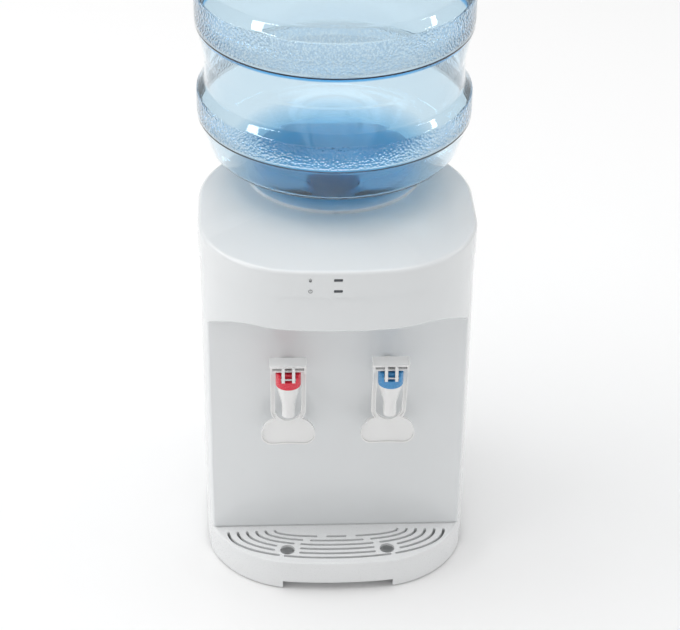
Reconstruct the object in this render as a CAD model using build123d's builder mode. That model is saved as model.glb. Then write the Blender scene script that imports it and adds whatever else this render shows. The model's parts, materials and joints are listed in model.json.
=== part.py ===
from build123d import *
import math
import os

# Countertop water dispenser with an inverted 19 litre bottle. Millimetres, +Z up.
# The front faces -Y. The origin is on the table, under the middle of the overall footprint,
# which runs from the front of the case to the back of the bottle.

os.makedirs("parts", exist_ok=True)

# --- driving dimensions -------------------------------------------------------------------
bottle_r = 135.5          # largest radius of the bottle, at its bands
bottle_y = 30.5           # bottle, collar and tank axis
case_half_w = 135.0       # half width of the case
front_y = -(bottle_y + bottle_r)
back_y = 132.0            # flat back of the case
front_arc_r = 465.0       # gentle curve across the front
front_corner_r = 98.0     # big rounded front corners
taper_angle = 35.0        # the sides taper in plan behind this line
taper_start_y = 15.8
side_corner_r = 115.0
back_corner_r = 40.0
wall = 2.5                # moulded wall thickness

case_bottom_z = 4.0       # the rubber feet lift the case by this much
seam_z = 356.4            # seam between housing and top cover
cover_top_z = 384.4
cover_proud = 1.0         # the cover stands this much proud of the housing
parting_y = 10.0          # front housing meets rear cover here

niche_y = -102.2          # flat panel behind the taps
niche_half_w = 128.5
niche_top_z = 317.4
niche_corner_r = 52.0

tray_top_z = 34.6
tray_bottom_z = 1.5
tray_back_y = -95.6
notch_half_w = 56.5       # finger notch under the front of the tray
notch_h = 8.0

tap_x = 49.6              # each side of the centre
tap_reach = 41.8          # tap axis in front of the panel
tap_y = niche_y - tap_reach
shank_z = 236.0
tank_y = 30.0

gap = 0.4                 # clearance between pieces that only stand side by side


def export(part, name):
    """Label a finished piece and write its STEP file."""
    part.label = name
    export_step(part, f"parts/{name}.step")
    return part


def case_plan(inset):
    """Plan outline of the case: curved front, tapered sides and a flat back."""
    arc_end_y = front_y + front_arc_r - math.sqrt(front_arc_r**2 - case_half_w**2)
    back_half_w = case_half_w - (back_y - taper_start_y) * math.tan(math.radians(taper_angle))
    with BuildSketch() as plan:
        with BuildLine():
            ThreePointArc((-case_half_w, arc_end_y), (0, front_y), (case_half_w, arc_end_y))
            Polyline(
                (case_half_w, arc_end_y),
                (case_half_w, taper_start_y),
                (back_half_w, back_y),
                (-back_half_w, back_y),
                (-case_half_w, taper_start_y),
                (-case_half_w, arc_end_y),
            )
        make_face()
        corners = plan.vertices().group_by(Axis.Y)
        fillet(corners[0], front_corner_r)
        corners = plan.vertices().group_by(Axis.Y)
        fillet(corners[-1], back_corner_r)
        side = [v for v in plan.vertices() if abs(v.Y - taper_start_y) < 0.1]
        fillet(side, side_corner_r)
        if inset:
            offset(amount=-inset, mode=Mode.REPLACE)
    return plan.sketch


def niche_outline(grow):
    """Front view of the niche: open below, with large rounded top corners."""
    half_w = niche_half_w + grow
    top = niche_top_z + grow
    with BuildSketch(Plane.XZ) as outline:
        with BuildLine():
            Polyline((-half_w, -20), (half_w, -20), (half_w, top), (-half_w, top), close=True)
        make_face()
        fillet(outline.vertices().group_by(Axis.Z)[-1], niche_corner_r + grow)
    return outline.sketch


plan_cover = case_plan(0)
plan_cover_inner = case_plan(wall)
plan_case = case_plan(cover_proud)
plan_case_inner = case_plan(cover_proud + wall)
plan_inside = case_plan(cover_proud + wall + gap)

# --- housing ------------------------------------------------------------------------------
# The hollow body is made whole and parted into a front housing and a rear cover.
recess_y = tray_back_y + 0.8      # the housing steps back here behind the drip tray
recess_top_z = tray_top_z + 0.6
rim_r = 3.0                       # rounded rim of the niche
switch_z = 92.0
switch_w = 20.0
switch_h = 14.0
gland_z = 52.0
gland_x = 18.0
gland_r = 6.2
drain_z = 32.0
drain_x = -16.0
drain_r = 9.0
vent_w = 54.0
vent_h = 4.0
vent_pitch = 9.0
screw_x = 26.0
screw_z = (18.0, 344.0)
tab_y = 120.1             # the screws bite into tabs inside the rear wall
tab_t = 8.0
tongue_slot_half_w = 123.0        # the base pan's tongue passes under the housing here
tongue_slot_top_z = 7.4


def size_of(edge):
    """Bounding box of an edge."""
    return edge.bounding_box()


with BuildPart() as hollow:
    with BuildSketch(Plane.XY.offset(case_bottom_z - 1)):
        add(plan_case_inner)
    extrude(amount=seam_z - case_bottom_z + 2)
    with BuildSketch(Plane.XZ.offset(-niche_y - wall)):
        add(niche_outline(wall))
    extrude(amount=200, mode=Mode.SUBTRACT)
    with BuildSketch(Plane.XY.offset(-1)):
        with Locations((0, front_y)):
            Rectangle(400, 2 * (recess_y + wall - front_y))
    extrude(amount=recess_top_z + wall + 1, mode=Mode.SUBTRACT)

with BuildPart() as body:
    with BuildSketch(Plane.XY.offset(case_bottom_z)):
        add(plan_case)
    extrude(amount=seam_z - case_bottom_z)
    with BuildSketch(Plane.XZ.offset(-niche_y)):
        add(niche_outline(0))
    extrude(amount=200, mode=Mode.SUBTRACT)
    with BuildSketch(Plane.XY.offset(-1)):
        with Locations((0, front_y)):
            Rectangle(400, 2 * (recess_y - front_y))
    extrude(amount=recess_top_z + 1, mode=Mode.SUBTRACT)
    rim = []
    for edge in body.edges():
        box = size_of(edge)
        front_rim = box.max.Y < niche_y - 1 and abs(box.min.Z - niche_top_z) < 0.1
        side_rim = abs(box.min.Y - niche_y) < 0.1 and box.size.Y < 0.1 and box.size.Z > 200
        if front_rim or side_rim:
            rim.append(edge)
    fillet(rim, rim_r)
    add(hollow.part, mode=Mode.SUBTRACT)

with BuildPart() as front_housing:
    add(body.part)
    split(bisect_by=Plane.XZ.offset(-parting_y), keep=Keep.TOP)
    # holes for the two tap shanks
    with BuildSketch(Plane.XZ.offset(-niche_y + 5)):
        with Locations((-tap_x, shank_z), (tap_x, shank_z)):
            Circle(8.4)
    extrude(amount=-15, mode=Mode.SUBTRACT)
    with BuildSketch(Plane.XY.offset(case_bottom_z)):
        with Locations((0, recess_y)):
            Rectangle(2 * tongue_slot_half_w, 2 * wall + 1)
    extrude(amount=tongue_slot_top_z - case_bottom_z, mode=Mode.SUBTRACT)
export(front_housing.part, "front_housing")

with BuildPart() as rear_cover:
    add(body.part)
    split(bisect_by=Plane.XZ.offset(-parting_y - gap), keep=Keep.BOTTOM)
    with BuildSketch(Plane.XZ.offset(-back_y - 5)):
        with Locations((0, 245)):
            with GridLocations(1, vent_pitch, 1, 17):
                SlotOverall(vent_w, vent_h)
        with Locations((0, switch_z)):
            Rectangle(switch_w - 1, switch_h - 1)
        with Locations((gland_x, gland_z)):
            Circle(gland_r)
        with Locations((drain_x, drain_z)):
            Circle(drain_r)
        with Locations(*[(x, z) for x in (-screw_x, screw_x) for z in screw_z]):
            Circle(1.9)
    extrude(amount=20, mode=Mode.SUBTRACT)
export(rear_cover.part, "rear_cover")

# --- base pan, with a tongue under the drip tray --------------------------------------------
foot_places = [(-86, -122), (86, -122), (-80, 62), (80, 62)]
tongue_inset = 9.0
pan_top_z = 7.0
tongue_t = 2.6

with BuildPart() as base_pan:
    with BuildSketch(Plane.XY.offset(case_bottom_z)):
        add(plan_inside)
        with Locations((0, front_y)):
            Rectangle(400, 2 * (recess_y + wall + gap - front_y), mode=Mode.SUBTRACT)
    extrude(amount=pan_top_z - case_bottom_z)
    with BuildSketch(Plane.XY.offset(case_bottom_z)):
        add(case_plan(tongue_inset))
        with Locations((0, 200)):
            Rectangle(400, 2 * (200 - recess_y - wall - gap), mode=Mode.SUBTRACT)
        with Locations((0, front_y)):
            Rectangle(2 * notch_half_w + 6, 40, mode=Mode.SUBTRACT)
    extrude(amount=tongue_t)
    # upstand that the two lower case screws bite into
    with Locations((0, tab_y + tab_t / 2, pan_top_z + 9)):
        Box(2 * screw_x + 16, tab_t, 20)
    with BuildSketch(Plane.XZ.offset(-tab_y + 1)):
        with Locations((-screw_x, screw_z[0]), (screw_x, screw_z[0])):
            Circle(1.75)
    extrude(amount=-tab_t - 2, mode=Mode.SUBTRACT)
    with BuildSketch(Plane.XZ.offset(-tab_y + 1)):
        with Locations((drain_x, drain_z)):
            Circle(12.5)
    extrude(amount=-tab_t - 2, mode=Mode.SUBTRACT)
    # holes for the pegs of the rubber feet
    with BuildSketch(Plane.XY.offset(case_bottom_z)):
        with Locations(*foot_places):
            Circle(2.0)
    extrude(amount=5, mode=Mode.SUBTRACT)
export(base_pan.part, "base_pan")

with BuildPart() as rubber_feet:
    with BuildSketch():
        with Locations(*foot_places):
            Circle(10)
    extrude(amount=case_bottom_z, taper=6)
    with BuildSketch(Plane.XY.offset(case_bottom_z)):
        with Locations(*foot_places):
            Circle(1.9)
    extrude(amount=2.4)
export(rubber_feet.part, "rubber_feet")

# --- drip tray and grille -------------------------------------------------------------------
grille_t = 3.0
grille_top_z = tray_top_z - 0.6
tray_wall = 2.6
tray_floor_z = 10.4
tray_floor_t = 2.0
ledge_w = 2.4


def tray_area(inset, back):
    """Front part of the case plan, inset all round and cut straight at the back."""
    with BuildSketch() as area:
        add(case_plan(0.4 + inset))
        with Locations((0, back + 200)):
            Rectangle(400, 400, mode=Mode.SUBTRACT)
    return area.sketch


tray_outer = tray_area(0, tray_back_y)
tray_skirt = tray_area(tray_wall, tray_back_y - tray_wall)
tray_basin = tray_area(tray_wall + ledge_w, tray_back_y - tray_wall - ledge_w - 2)
grille_back_y = niche_y - 0.5
tray_recess = tray_area(tray_wall, grille_back_y + 0.4)
grille_area = tray_area(tray_wall + 0.4, grille_back_y)

with BuildPart() as drip_tray:
    with BuildSketch(Plane.XY.offset(tray_bottom_z)):
        add(tray_outer)
    extrude(amount=tray_top_z - tray_bottom_z)
    top_rim = drip_tray.faces().sort_by(Axis.Z)[-1].edges()
    fillet([e for e in top_rim if size_of(e).min.Y < tray_back_y - 1], 1.6)
    with BuildSketch(Plane.XY.offset(tray_bottom_z)):
        add(tray_skirt)
    extrude(amount=tray_floor_z - tray_bottom_z, mode=Mode.SUBTRACT)
    with BuildSketch(Plane.XY.offset(tray_floor_z + tray_floor_t)):
        add(tray_basin)
    extrude(amount=tray_top_z, mode=Mode.SUBTRACT)
    with BuildSketch(Plane.XY.offset(grille_top_z - grille_t)):
        add(tray_recess)
    extrude(amount=10, mode=Mode.SUBTRACT)
    # finger notch under the front edge
    with BuildSketch(Plane.XY.offset(tray_bottom_z)):
        with Locations((0, front_y)):
            Rectangle(2 * notch_half_w, 30)
    extrude(amount=notch_h, mode=Mode.SUBTRACT)
    # the skirt is open at the back, so that the tray slides over the tongue
    with BuildSketch(Plane.XY.offset(tray_bottom_z)):
        with Locations((0, tray_back_y)):
            Rectangle(2 * tongue_slot_half_w, 2 * tray_wall + 1)
    extrude(amount=tray_floor_z - tray_bottom_z, mode=Mode.SUBTRACT)
export(drip_tray.part, "drip_tray")

slot_w = 3.0
slot_rows = 6
slot_power = 2.2                     # roundness of the nested slot rows
slot_back_y = niche_y - 7.7
row_front = [11.0 + 6.8 * k for k in range(slot_rows)]
row_half_w = [112.0 - 9.65 * k for k in range(slot_rows)]
centre_half = [55.4, 39.6, 38.6, 38.0, 28.0, 10.6]
side_inner = [59.0, 63.8, 61.5, 43.6, 34.4, 19.5]
finger_hole_x = 51.2
finger_hole_y = front_y + 24.8
finger_hole_r = 7.6


def row_point(k, angle):
    """Point on the centre line of slot row k, bowed like the front of the tray."""
    x = row_half_w[k] * math.sin(angle)
    depth = slot_back_y - (front_y + row_front[k])
    y = slot_back_y - depth * (1 - abs(math.sin(angle)) ** slot_power) ** (1 / slot_power)
    return x, y


def row_slot(k, x0, x1, count):
    """Outline of a slot of constant width with round ends, following row k from x0 to x1."""
    a0 = math.asin(x0 / row_half_w[k])
    a1 = math.asin(x1 / row_half_w[k])
    left = []
    right = []
    tips = []
    for i in range(count):
        angle = a0 + (a1 - a0) * i / (count - 1)
        x, y = row_point(k, angle)
        ahead = row_point(k, angle + 0.001)
        behind = row_point(k, angle - 0.001)
        run = math.dist(ahead, behind)
        tx = (ahead[0] - behind[0]) / run
        ty = (ahead[1] - behind[1]) / run
        left.append((x - ty * slot_w / 2, y + tx * slot_w / 2))
        right.append((x + ty * slot_w / 2, y - tx * slot_w / 2))
        tips.append((x, y, tx, ty))
    x, y, tx, ty = tips[0]
    start = (x - tx * slot_w / 2, y - ty * slot_w / 2)
    x, y, tx, ty = tips[-1]
    end = (x + tx * slot_w / 2, y + ty * slot_w / 2)
    with BuildSketch() as outline:
        with BuildLine():
            Spline(*left)
            ThreePointArc(left[-1], end, right[-1])
            Spline(*right[::-1])
            ThreePointArc(right[0], start, left[0])
        make_face()
    return outline.sketch


with BuildSketch(Plane.XY.offset(grille_top_z - grille_t)) as grille_holes:
    for k in range(slot_rows):
        side = row_slot(k, side_inner[k] + slot_w / 2, row_half_w[k] * 0.999, 8)
        add(side)
        add(mirror(side, about=Plane.YZ))
        add(row_slot(k, slot_w / 2 - centre_half[k], centre_half[k] - slot_w / 2, 7))
    with Locations((-finger_hole_x, finger_hole_y), (finger_hole_x, finger_hole_y)):
        Circle(finger_hole_r)

with BuildPart() as drip_grille:
    with BuildSketch(Plane.XY.offset(grille_top_z - grille_t)):
        add(grille_area)
    extrude(amount=grille_t)
    extrude(grille_holes.sketch, amount=grille_t, mode=Mode.SUBTRACT)
export(drip_grille.part, "drip_grille")

# --- top cover, collar and the feed probe -----------------------------------------------------
collar_r = 88.7
collar_h = 3.2
collar_top_z = cover_top_z + collar_h
cover_hole_r = 80.0
led_x = -3.0
led_w = 8.4
led_h = 3.0
led_z = (375.9, 363.9)
lip_h = 5.0
seat_r = 60.0             # the shoulder of the bottle rests on this edge
throat_r = 33.0
throat_z = 309.0
collar_t = 2.4
funnel_z = 352.0

def screw_hole_places(z):
    """Centres of a pair of case screws at height z."""
    return [(x, z) for x in (-screw_x, screw_x)]


with BuildPart() as top_cover:
    with BuildSketch(Plane.XY.offset(seam_z + 0.3)):
        add(plan_cover)
    extrude(amount=cover_top_z - seam_z - 0.3)
    fillet(top_cover.faces().sort_by(Axis.Z)[-1].edges(), 4.5)
    with BuildSketch(Plane.XY.offset(seam_z)):
        add(plan_cover_inner)
    extrude(amount=cover_top_z - seam_z - wall, mode=Mode.SUBTRACT)
    # lip that locates the cover inside the housing
    with BuildSketch(Plane.XY.offset(seam_z - lip_h)):
        add(plan_inside)
        add(case_plan(cover_proud + 2 * wall + gap), mode=Mode.SUBTRACT)
    extrude(amount=lip_h + 4)
    with BuildSketch(Plane.XY.offset(seam_z)):
        add(plan_case)
        add(case_plan(cover_proud + 2 * wall + gap), mode=Mode.SUBTRACT)
    extrude(amount=4)
    # tab that the two upper case screws bite into
    with Locations((0, tab_y + tab_t / 2, screw_z[1] + 6)):
        Box(2 * screw_x + 16, tab_t, 24)
    with BuildSketch(Plane.XZ.offset(-tab_y + 1)):
        with Locations(*screw_hole_places(screw_z[1])):
            Circle(1.75)
    extrude(amount=-tab_t - 2, mode=Mode.SUBTRACT)
    # ribs that carry the small display board
    with Locations((led_x - 15, front_y + 2.8, 370), (led_x + 15, front_y + 2.8, 370)):
        Box(3, 1.6, 12)
    with BuildSketch(Plane.XY.offset(cover_top_z - 10)):
        with Locations((0, bottle_y)):
            Circle(cover_hole_r)
    extrude(amount=20, mode=Mode.SUBTRACT)
    with BuildSketch(Plane.XZ.offset(-front_y - 20)):
        with Locations((led_x, led_z[0]), (led_x, led_z[1])):
            RectangleRounded(led_w, led_h, 0.9)
    extrude(amount=40, mode=Mode.SUBTRACT)
export(top_cover.part, "top_cover")


def turned(points, centre_y=bottle_y):
    """Solid of revolution about an upright axis, from an outline of (radius, height) points."""
    with BuildPart() as solid:
        with BuildSketch(Plane.XZ):
            with BuildLine():
                Polyline(*points, close=True)
            make_face()
        revolve(axis=Axis.Z)
    return Pos(0, centre_y, 0) * solid.part


with BuildPart() as bottle_collar:
    add(
        turned([
            (collar_r, cover_top_z),
            (collar_r, collar_top_z),
            (seat_r, collar_top_z),
            (throat_r, funnel_z),
            (throat_r, throat_z),
            (throat_r + collar_t, throat_z),
            (throat_r + collar_t, funnel_z - 1.2),
            (seat_r + 2.2, collar_top_z - collar_t - 1),
            (cover_hole_r - 2.6, collar_top_z - collar_t - 1),
            (cover_hole_r - 2.6, cover_top_z - 6),
            (cover_hole_r - gap, cover_top_z - 6),
            (cover_hole_r - gap, cover_top_z),
        ])
    )
    seat = [e for e in bottle_collar.edges().filter_by(GeomType.CIRCLE) if abs(e.radius - seat_r) < 0.01]
    fillet(seat, 1.2)
    outer = [e for e in bottle_collar.edges().filter_by(GeomType.CIRCLE) if e.radius > collar_r - 0.01]
    fillet([e for e in outer if e.center().Z > collar_top_z - 0.1], 1.0)
    # small pry slot at the front foot of the collar
    with Locations((led_x + 2, bottle_y - collar_r, cover_top_z)):
        Box(5.5, 3.0, 3.2, mode=Mode.SUBTRACT)
export(bottle_collar.part, "bottle_collar")

probe_r = 8.5
probe_flange_t = 3.0
probe_top_z = 346.0
with BuildPart() as water_probe:
    add(
        turned([
            (probe_r - 2.5, throat_z - 12),
            (probe_r, throat_z - 12),
            (probe_r, throat_z - probe_flange_t),
            (throat_r + collar_t, throat_z - probe_flange_t),
            (throat_r + collar_t, throat_z),
            (probe_r, throat_z),
            (probe_r, probe_top_z - 9),
            (2.0, probe_top_z),
            (0.0, probe_top_z),
            (0.0, probe_top_z - 4),
            (probe_r - 2.5, probe_top_z - 10),
        ])
    )
    # water passes through windows in the spike and in its flange
    with Locations((0, bottle_y, probe_top_z - 16)):
        Box(2 * probe_r + 4, 5, 8, mode=Mode.SUBTRACT)
        Box(5, 2 * probe_r + 4, 8, mode=Mode.SUBTRACT)
    with BuildSketch(Plane.XY.offset(throat_z - probe_flange_t)):
        with Locations((0, bottle_y)):
            with PolarLocations(20.5, 6):
                Circle(6.5)
    extrude(amount=probe_flange_t, mode=Mode.SUBTRACT)
export(water_probe.part, "water_probe")

# --- cold water reservoir ---------------------------------------------------------------------
reservoir_r = 84.0
reservoir_z = 228.0
reservoir_top_z = 345.0
reservoir_t = 2.0
reservoir_hole_r = 40.0
nipple_r = 3.9
cold_x = tap_x
cold_port_y = tank_y - math.sqrt(reservoir_r**2 - cold_x**2)
feed_xy = (38.0, 92.0)
vent_xy = (20.0, 40.0)
hot_xy = (-25.0, 5.0)
inlet_xy = (15.0, 45.0)
outlet_xy = (-10.0, 30.0)

with BuildPart() as reservoir:
    with BuildSketch(Plane.XY.offset(reservoir_z)):
        with Locations((0, tank_y)):
            Circle(reservoir_r)
    extrude(amount=reservoir_top_z - reservoir_z)
    fillet(reservoir.edges().filter_by(GeomType.CIRCLE), 4)
    # outlet pipes: to the cold tap, to the hot tank and the vent
    with BuildSketch(Plane.XZ.offset(-cold_port_y + 14)):
        with Locations((cold_x, shank_z)):
            Circle(nipple_r)
    extrude(amount=-17)
    with BuildSketch(Plane.XY.offset(reservoir_z - 12)):
        with Locations(feed_xy):
            Circle(nipple_r)
    extrude(amount=13)
    with BuildSketch(Plane.XY.offset(reservoir_z - 10)):
        with Locations(vent_xy):
            Circle(2.9)
    extrude(amount=11)
    with BuildSketch(Plane.XY.offset(reservoir_z + reservoir_t)):
        with Locations((0, tank_y)):
            Circle(reservoir_r - reservoir_t)
    extrude(amount=reservoir_top_z - reservoir_z - 2 * reservoir_t, mode=Mode.SUBTRACT)
    with BuildSketch(Plane.XY.offset(reservoir_top_z - 5)):
        with Locations((0, bottle_y)):
            Circle(reservoir_hole_r)
    extrude(amount=10, mode=Mode.SUBTRACT)
    with BuildSketch(Plane.XZ.offset(-cold_port_y + 15)):
        with Locations((cold_x, shank_z)):
            Circle(nipple_r - 1.2)
    extrude(amount=-26, mode=Mode.SUBTRACT)
    with BuildSketch(Plane.XY.offset(reservoir_z - 13)):
        with Locations(feed_xy):
            Circle(nipple_r - 1.2)
        with Locations(vent_xy):
            Circle(1.9)
    extrude(amount=18, mode=Mode.SUBTRACT)
export(reservoir.part, "reservoir")

with BuildPart() as reservoir_seal:
    add(
        turned([
            (throat_r + collar_t + 0.05, reservoir_top_z - 4),
            (reservoir_hole_r - 0.05, reservoir_top_z - 4),
            (reservoir_hole_r - 0.05, reservoir_top_z),
            (reservoir_hole_r + 4, reservoir_top_z),
            (reservoir_hole_r + 4, reservoir_top_z + 1.6),
            (throat_r + collar_t + 0.05, reservoir_top_z + 1.6),
        ])
    )
export(reservoir_seal.part, "reservoir_seal")

leg_r = 4.0
leg_ring = 76.0
with BuildPart() as reservoir_stand:
    with BuildSketch(Plane.XY.offset(reservoir_z - 2)):
        with Locations((0, tank_y)):
            Circle(reservoir_r)
            Circle(60, mode=Mode.SUBTRACT)
        with Locations(feed_xy):
            Circle(8, mode=Mode.SUBTRACT)
    extrude(amount=2)
    with BuildSketch(Plane.XY.offset(pan_top_z)):
        with Locations((0, tank_y)):
            with PolarLocations(leg_ring, 3, start_angle=90):
                Circle(leg_r)
    extrude(amount=reservoir_z - 2 - pan_top_z)
export(reservoir_stand.part, "reservoir_stand")

# --- hot tank -----------------------------------------------------------------------------------
hot_r = 50.0
hot_z = 70.0
hot_top_z = 190.0
hot_t = 1.2

with BuildPart() as hot_tank:
    with BuildSketch(Plane.XY.offset(hot_z)):
        with Locations((0, tank_y)):
            Circle(hot_r)
    extrude(amount=hot_top_z - hot_z)
    with BuildSketch(Plane.XY.offset(hot_z + hot_t)):
        with Locations((0, tank_y)):
            Circle(hot_r - hot_t)
    extrude(amount=hot_top_z - hot_z - 2 * hot_t, mode=Mode.SUBTRACT)
    with BuildSketch(Plane.XY.offset(hot_top_z - hot_t)):
        with Locations(hot_xy):
            Circle(nipple_r)
    extrude(amount=15)
    with BuildSketch(Plane.XY.offset(hot_top_z - hot_t)):
        with Locations(vent_xy):
            Circle(2.9)
    extrude(amount=11)
    with BuildSketch(Plane.XY.offset(hot_z - 13)):
        with Locations(inlet_xy, outlet_xy):
            Circle(nipple_r)
    extrude(amount=13 + hot_t)
    with BuildSketch(Plane.XY.offset(hot_z - 14)):
        with Locations(inlet_xy, outlet_xy):
            Circle(nipple_r - 1.2)
    extrude(amount=20, mode=Mode.SUBTRACT)
    with BuildSketch(Plane.XY.offset(hot_top_z - 5)):
        with Locations(hot_xy):
            Circle(nipple_r - 1.2)
        with Locations(vent_xy):
            Circle(1.9)
    extrude(amount=25, mode=Mode.SUBTRACT)
export(hot_tank.part, "hot_tank")

with BuildPart() as heater_band:
    with BuildSketch(Plane.XY.offset(hot_z + 12)):
        with Locations((0, tank_y)):
            Circle(hot_r + 3)
            Circle(hot_r + 0.05, mode=Mode.SUBTRACT)
        with Locations((0, tank_y - hot_r)):
            Rectangle(5, 12, mode=Mode.SUBTRACT)
    extrude(amount=24)
export(heater_band.part, "heater_band")

with BuildPart() as tank_insulation:
    with BuildSketch(Plane.XY.offset(hot_z)):
        with Locations((0, tank_y)):
            Circle(hot_r + 16)
            Circle(hot_r + 3.2, mode=Mode.SUBTRACT)
    extrude(amount=hot_top_z - hot_z + 4)
export(tank_insulation.part, "tank_insulation")

with BuildPart() as tank_stand:
    with BuildSketch(Plane.XY.offset(hot_z - 3)):
        with Locations((0, tank_y)):
            Circle(hot_r + 16)
        with Locations(inlet_xy, outlet_xy):
            Circle(8, mode=Mode.SUBTRACT)
    extrude(amount=3)
    with BuildSketch(Plane.XY.offset(pan_top_z)):
        with Locations((0, tank_y)):
            with PolarLocations(50, 3, start_angle=30):
                Circle(5)
    extrude(amount=hot_z - 3 - pan_top_z)
export(tank_stand.part, "tank_stand")

with BuildPart() as tank_thermostats:
    for x, y in ((0, 62), (-34, 42)):
        with Locations((x, y, hot_top_z + 0.6)):
            Box(22, 7, 1.2)
        with Locations((x, y, hot_top_z + 5.2)):
            Cylinder(7.5, 8)
        with Locations((x - 3.5, y, hot_top_z + 11.2), (x + 3.5, y, hot_top_z + 11.2)):
            Box(0.8, 5, 6)
export(tank_thermostats.part, "tank_thermostats")


# --- hoses --------------------------------------------------------------------------------------
def hose(points, radius, bore, bend=9.0):
    """Flexible tube with rounded bends through the given points."""
    with BuildPart() as tube:
        with BuildLine() as path:
            if len(points) > 2:
                FilletPolyline(*points, radius=bend)
            else:
                Line(*points)
        route = path.wire()
        with BuildSketch(Plane(origin=route @ 0, z_dir=route % 0)):
            Circle(radius)
            Circle(bore, mode=Mode.SUBTRACT)
        sweep(path=route)
    return tube.part


hose_r = 6.0
hose_bore = nipple_r + 0.05
barb_y = -90.0
export(
    hose([(cold_x, cold_port_y - 5, shank_z), (cold_x, barb_y, shank_z)], hose_r, hose_bore),
    "cold_hose",
)
export(
    hose(
        [
            (*hot_xy, hot_top_z + 2),
            (*hot_xy, hot_top_z + 24),
            (-tap_x, -45, hot_top_z + 24),
            (-tap_x, -66, shank_z),
            (-tap_x, barb_y, shank_z),
        ],
        hose_r,
        hose_bore,
        8.0,
    ),
    "hot_hose",
)
export(
    hose(
        [
            (*feed_xy, reservoir_z - 2),
            (*feed_xy, 46),
            (*inlet_xy, 46),
            (*inlet_xy, hot_z - 2),
        ],
        hose_r,
        hose_bore,
    ),
    "feed_hose",
)
export(
    hose([(*vent_xy, hot_top_z + 1), (*vent_xy, reservoir_z - 1)], 4.4, 2.95),
    "vent_hose",
)

# --- drain at the back ----------------------------------------------------------------------------
rear_face_y = back_y - cover_proud
spout_r = 8.5
spout_bore = 5.0
spout_in_y = 110.0
spout_out_y = rear_face_y + 9.0
export(
    hose(
        [
            (*outlet_xy, hot_z - 2),
            (*outlet_xy, drain_z),
            (drain_x, 62, drain_z),
            (drain_x, spout_in_y + 8, drain_z),
        ],
        hose_r,
        hose_bore,
    ),
    "drain_hose",
)


def along_y(points, x, z):
    """Solid of revolution about a line along Y, from an outline of (radius, y) points."""
    with BuildPart() as solid:
        with BuildSketch(Plane.XY):
            with BuildLine():
                Polyline(*points, close=True)
            make_face()
        revolve(axis=Axis.Y)
    return Pos(x, 0, z) * solid.part


inner_wall_y = rear_face_y - wall
drain_spout = along_y(
    [
        (nipple_r - 1.2, spout_in_y),
        (nipple_r, spout_in_y),
        (nipple_r, spout_in_y + 10),
        (spout_r, spout_in_y + 10),
        (spout_r, inner_wall_y - 2.5),
        (spout_r + 3.5, inner_wall_y - 2.5),
        (spout_r + 3.5, inner_wall_y),
        (spout_r, inner_wall_y),
        (spout_r, spout_out_y),
        (spout_bore, spout_out_y),
        (spout_bore, spout_in_y + 12),
        (nipple_r - 1.2, spout_in_y + 12),
    ],
    drain_x,
    drain_z,
)
export(drain_spout, "drain_spout")

drain_plug = along_y(
    [
        (0, spout_out_y - 7),
        (spout_bore - 0.6, spout_out_y - 7),
        (spout_bore - 0.05, spout_out_y - 5),
        (spout_bore - 0.05, spout_out_y),
        (spout_r, spout_out_y),
        (spout_r, spout_out_y + 1.5),
        (0, spout_out_y + 1.5),
    ],
    drain_x,
    drain_z,
)
export(drain_plug, "drain_plug")

cap_r = 12.0
with BuildPart() as drain_cap:
    add(
        along_y(
            [
                (0, spout_out_y + 1.6),
                (spout_r + 0.08, spout_out_y + 1.6),
                (spout_r + 0.08, rear_face_y + 0.6),
                (cap_r, rear_face_y + 0.6),
                (cap_r, spout_out_y + 3.4),
                (cap_r - 1, spout_out_y + 4.4),
                (0, spout_out_y + 4.4),
            ],
            drain_x,
            drain_z,
        )
    )
    # finger grips round the cap
    with BuildSketch(Plane.XZ.offset(-rear_face_y)):
        with Locations((drain_x, drain_z)):
            with PolarLocations(cap_r + 0.5, 12):
                Circle(1.3)
    extrude(amount=-16, mode=Mode.SUBTRACT)
export(drain_cap.part, "drain_cap")

# --- electrical pieces ------------------------------------------------------------------------------
with BuildPart() as led_lenses:
    with BuildSketch(Plane.XZ.offset(-front_y - 0.2)):
        with Locations((led_x, led_z[0]), (led_x, led_z[1])):
            RectangleRounded(led_w - 0.3, led_h - 0.3, 0.8)
    extrude(amount=-3.4)
    with BuildSketch(Plane.XZ.offset(-front_y - 2.7)):
        with Locations((led_x, led_z[0]), (led_x, led_z[1])):
            Rectangle(led_w + 2.2, led_h + 2.2)
    extrude(amount=-0.9)
export(led_lenses.part, "led_lenses")

with BuildPart() as control_board:
    with BuildSketch(Plane.XZ.offset(-front_y - 3.6)):
        with Locations((led_x, 371)):
            Rectangle(40, 19)
    extrude(amount=-1.6)
    with Locations((led_x - 8, front_y + 6.2, 371), (led_x + 9, front_y + 6.2, 373)):
        Box(7, 2, 6)
export(control_board.part, "control_board")

with BuildPart() as terminal_block:
    with Locations((-68, 40, pan_top_z + 7)):
        Box(30, 20, 14)
    top = terminal_block.faces().sort_by(Axis.Z)[-1]
    with BuildSketch(Plane(top)):
        with GridLocations(9, 11, 3, 2):
            Circle(2.4)
    extrude(amount=-6, mode=Mode.SUBTRACT)
export(terminal_block.part, "terminal_block")

cord_bore_r = 3.5
cord_gland = along_y(
    [
        (cord_bore_r, inner_wall_y - 5),
        (gland_r - 0.1, inner_wall_y - 5),
        (gland_r - 0.1, rear_face_y),
        (9.5, rear_face_y),
        (9.5, rear_face_y + 2.6),
        (6.4, rear_face_y + 4),
        (5.2, rear_face_y + 12),
        (cord_bore_r, rear_face_y + 12),
    ],
    gland_x,
    gland_z,
)
export(cord_gland, "cord_gland")

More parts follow.
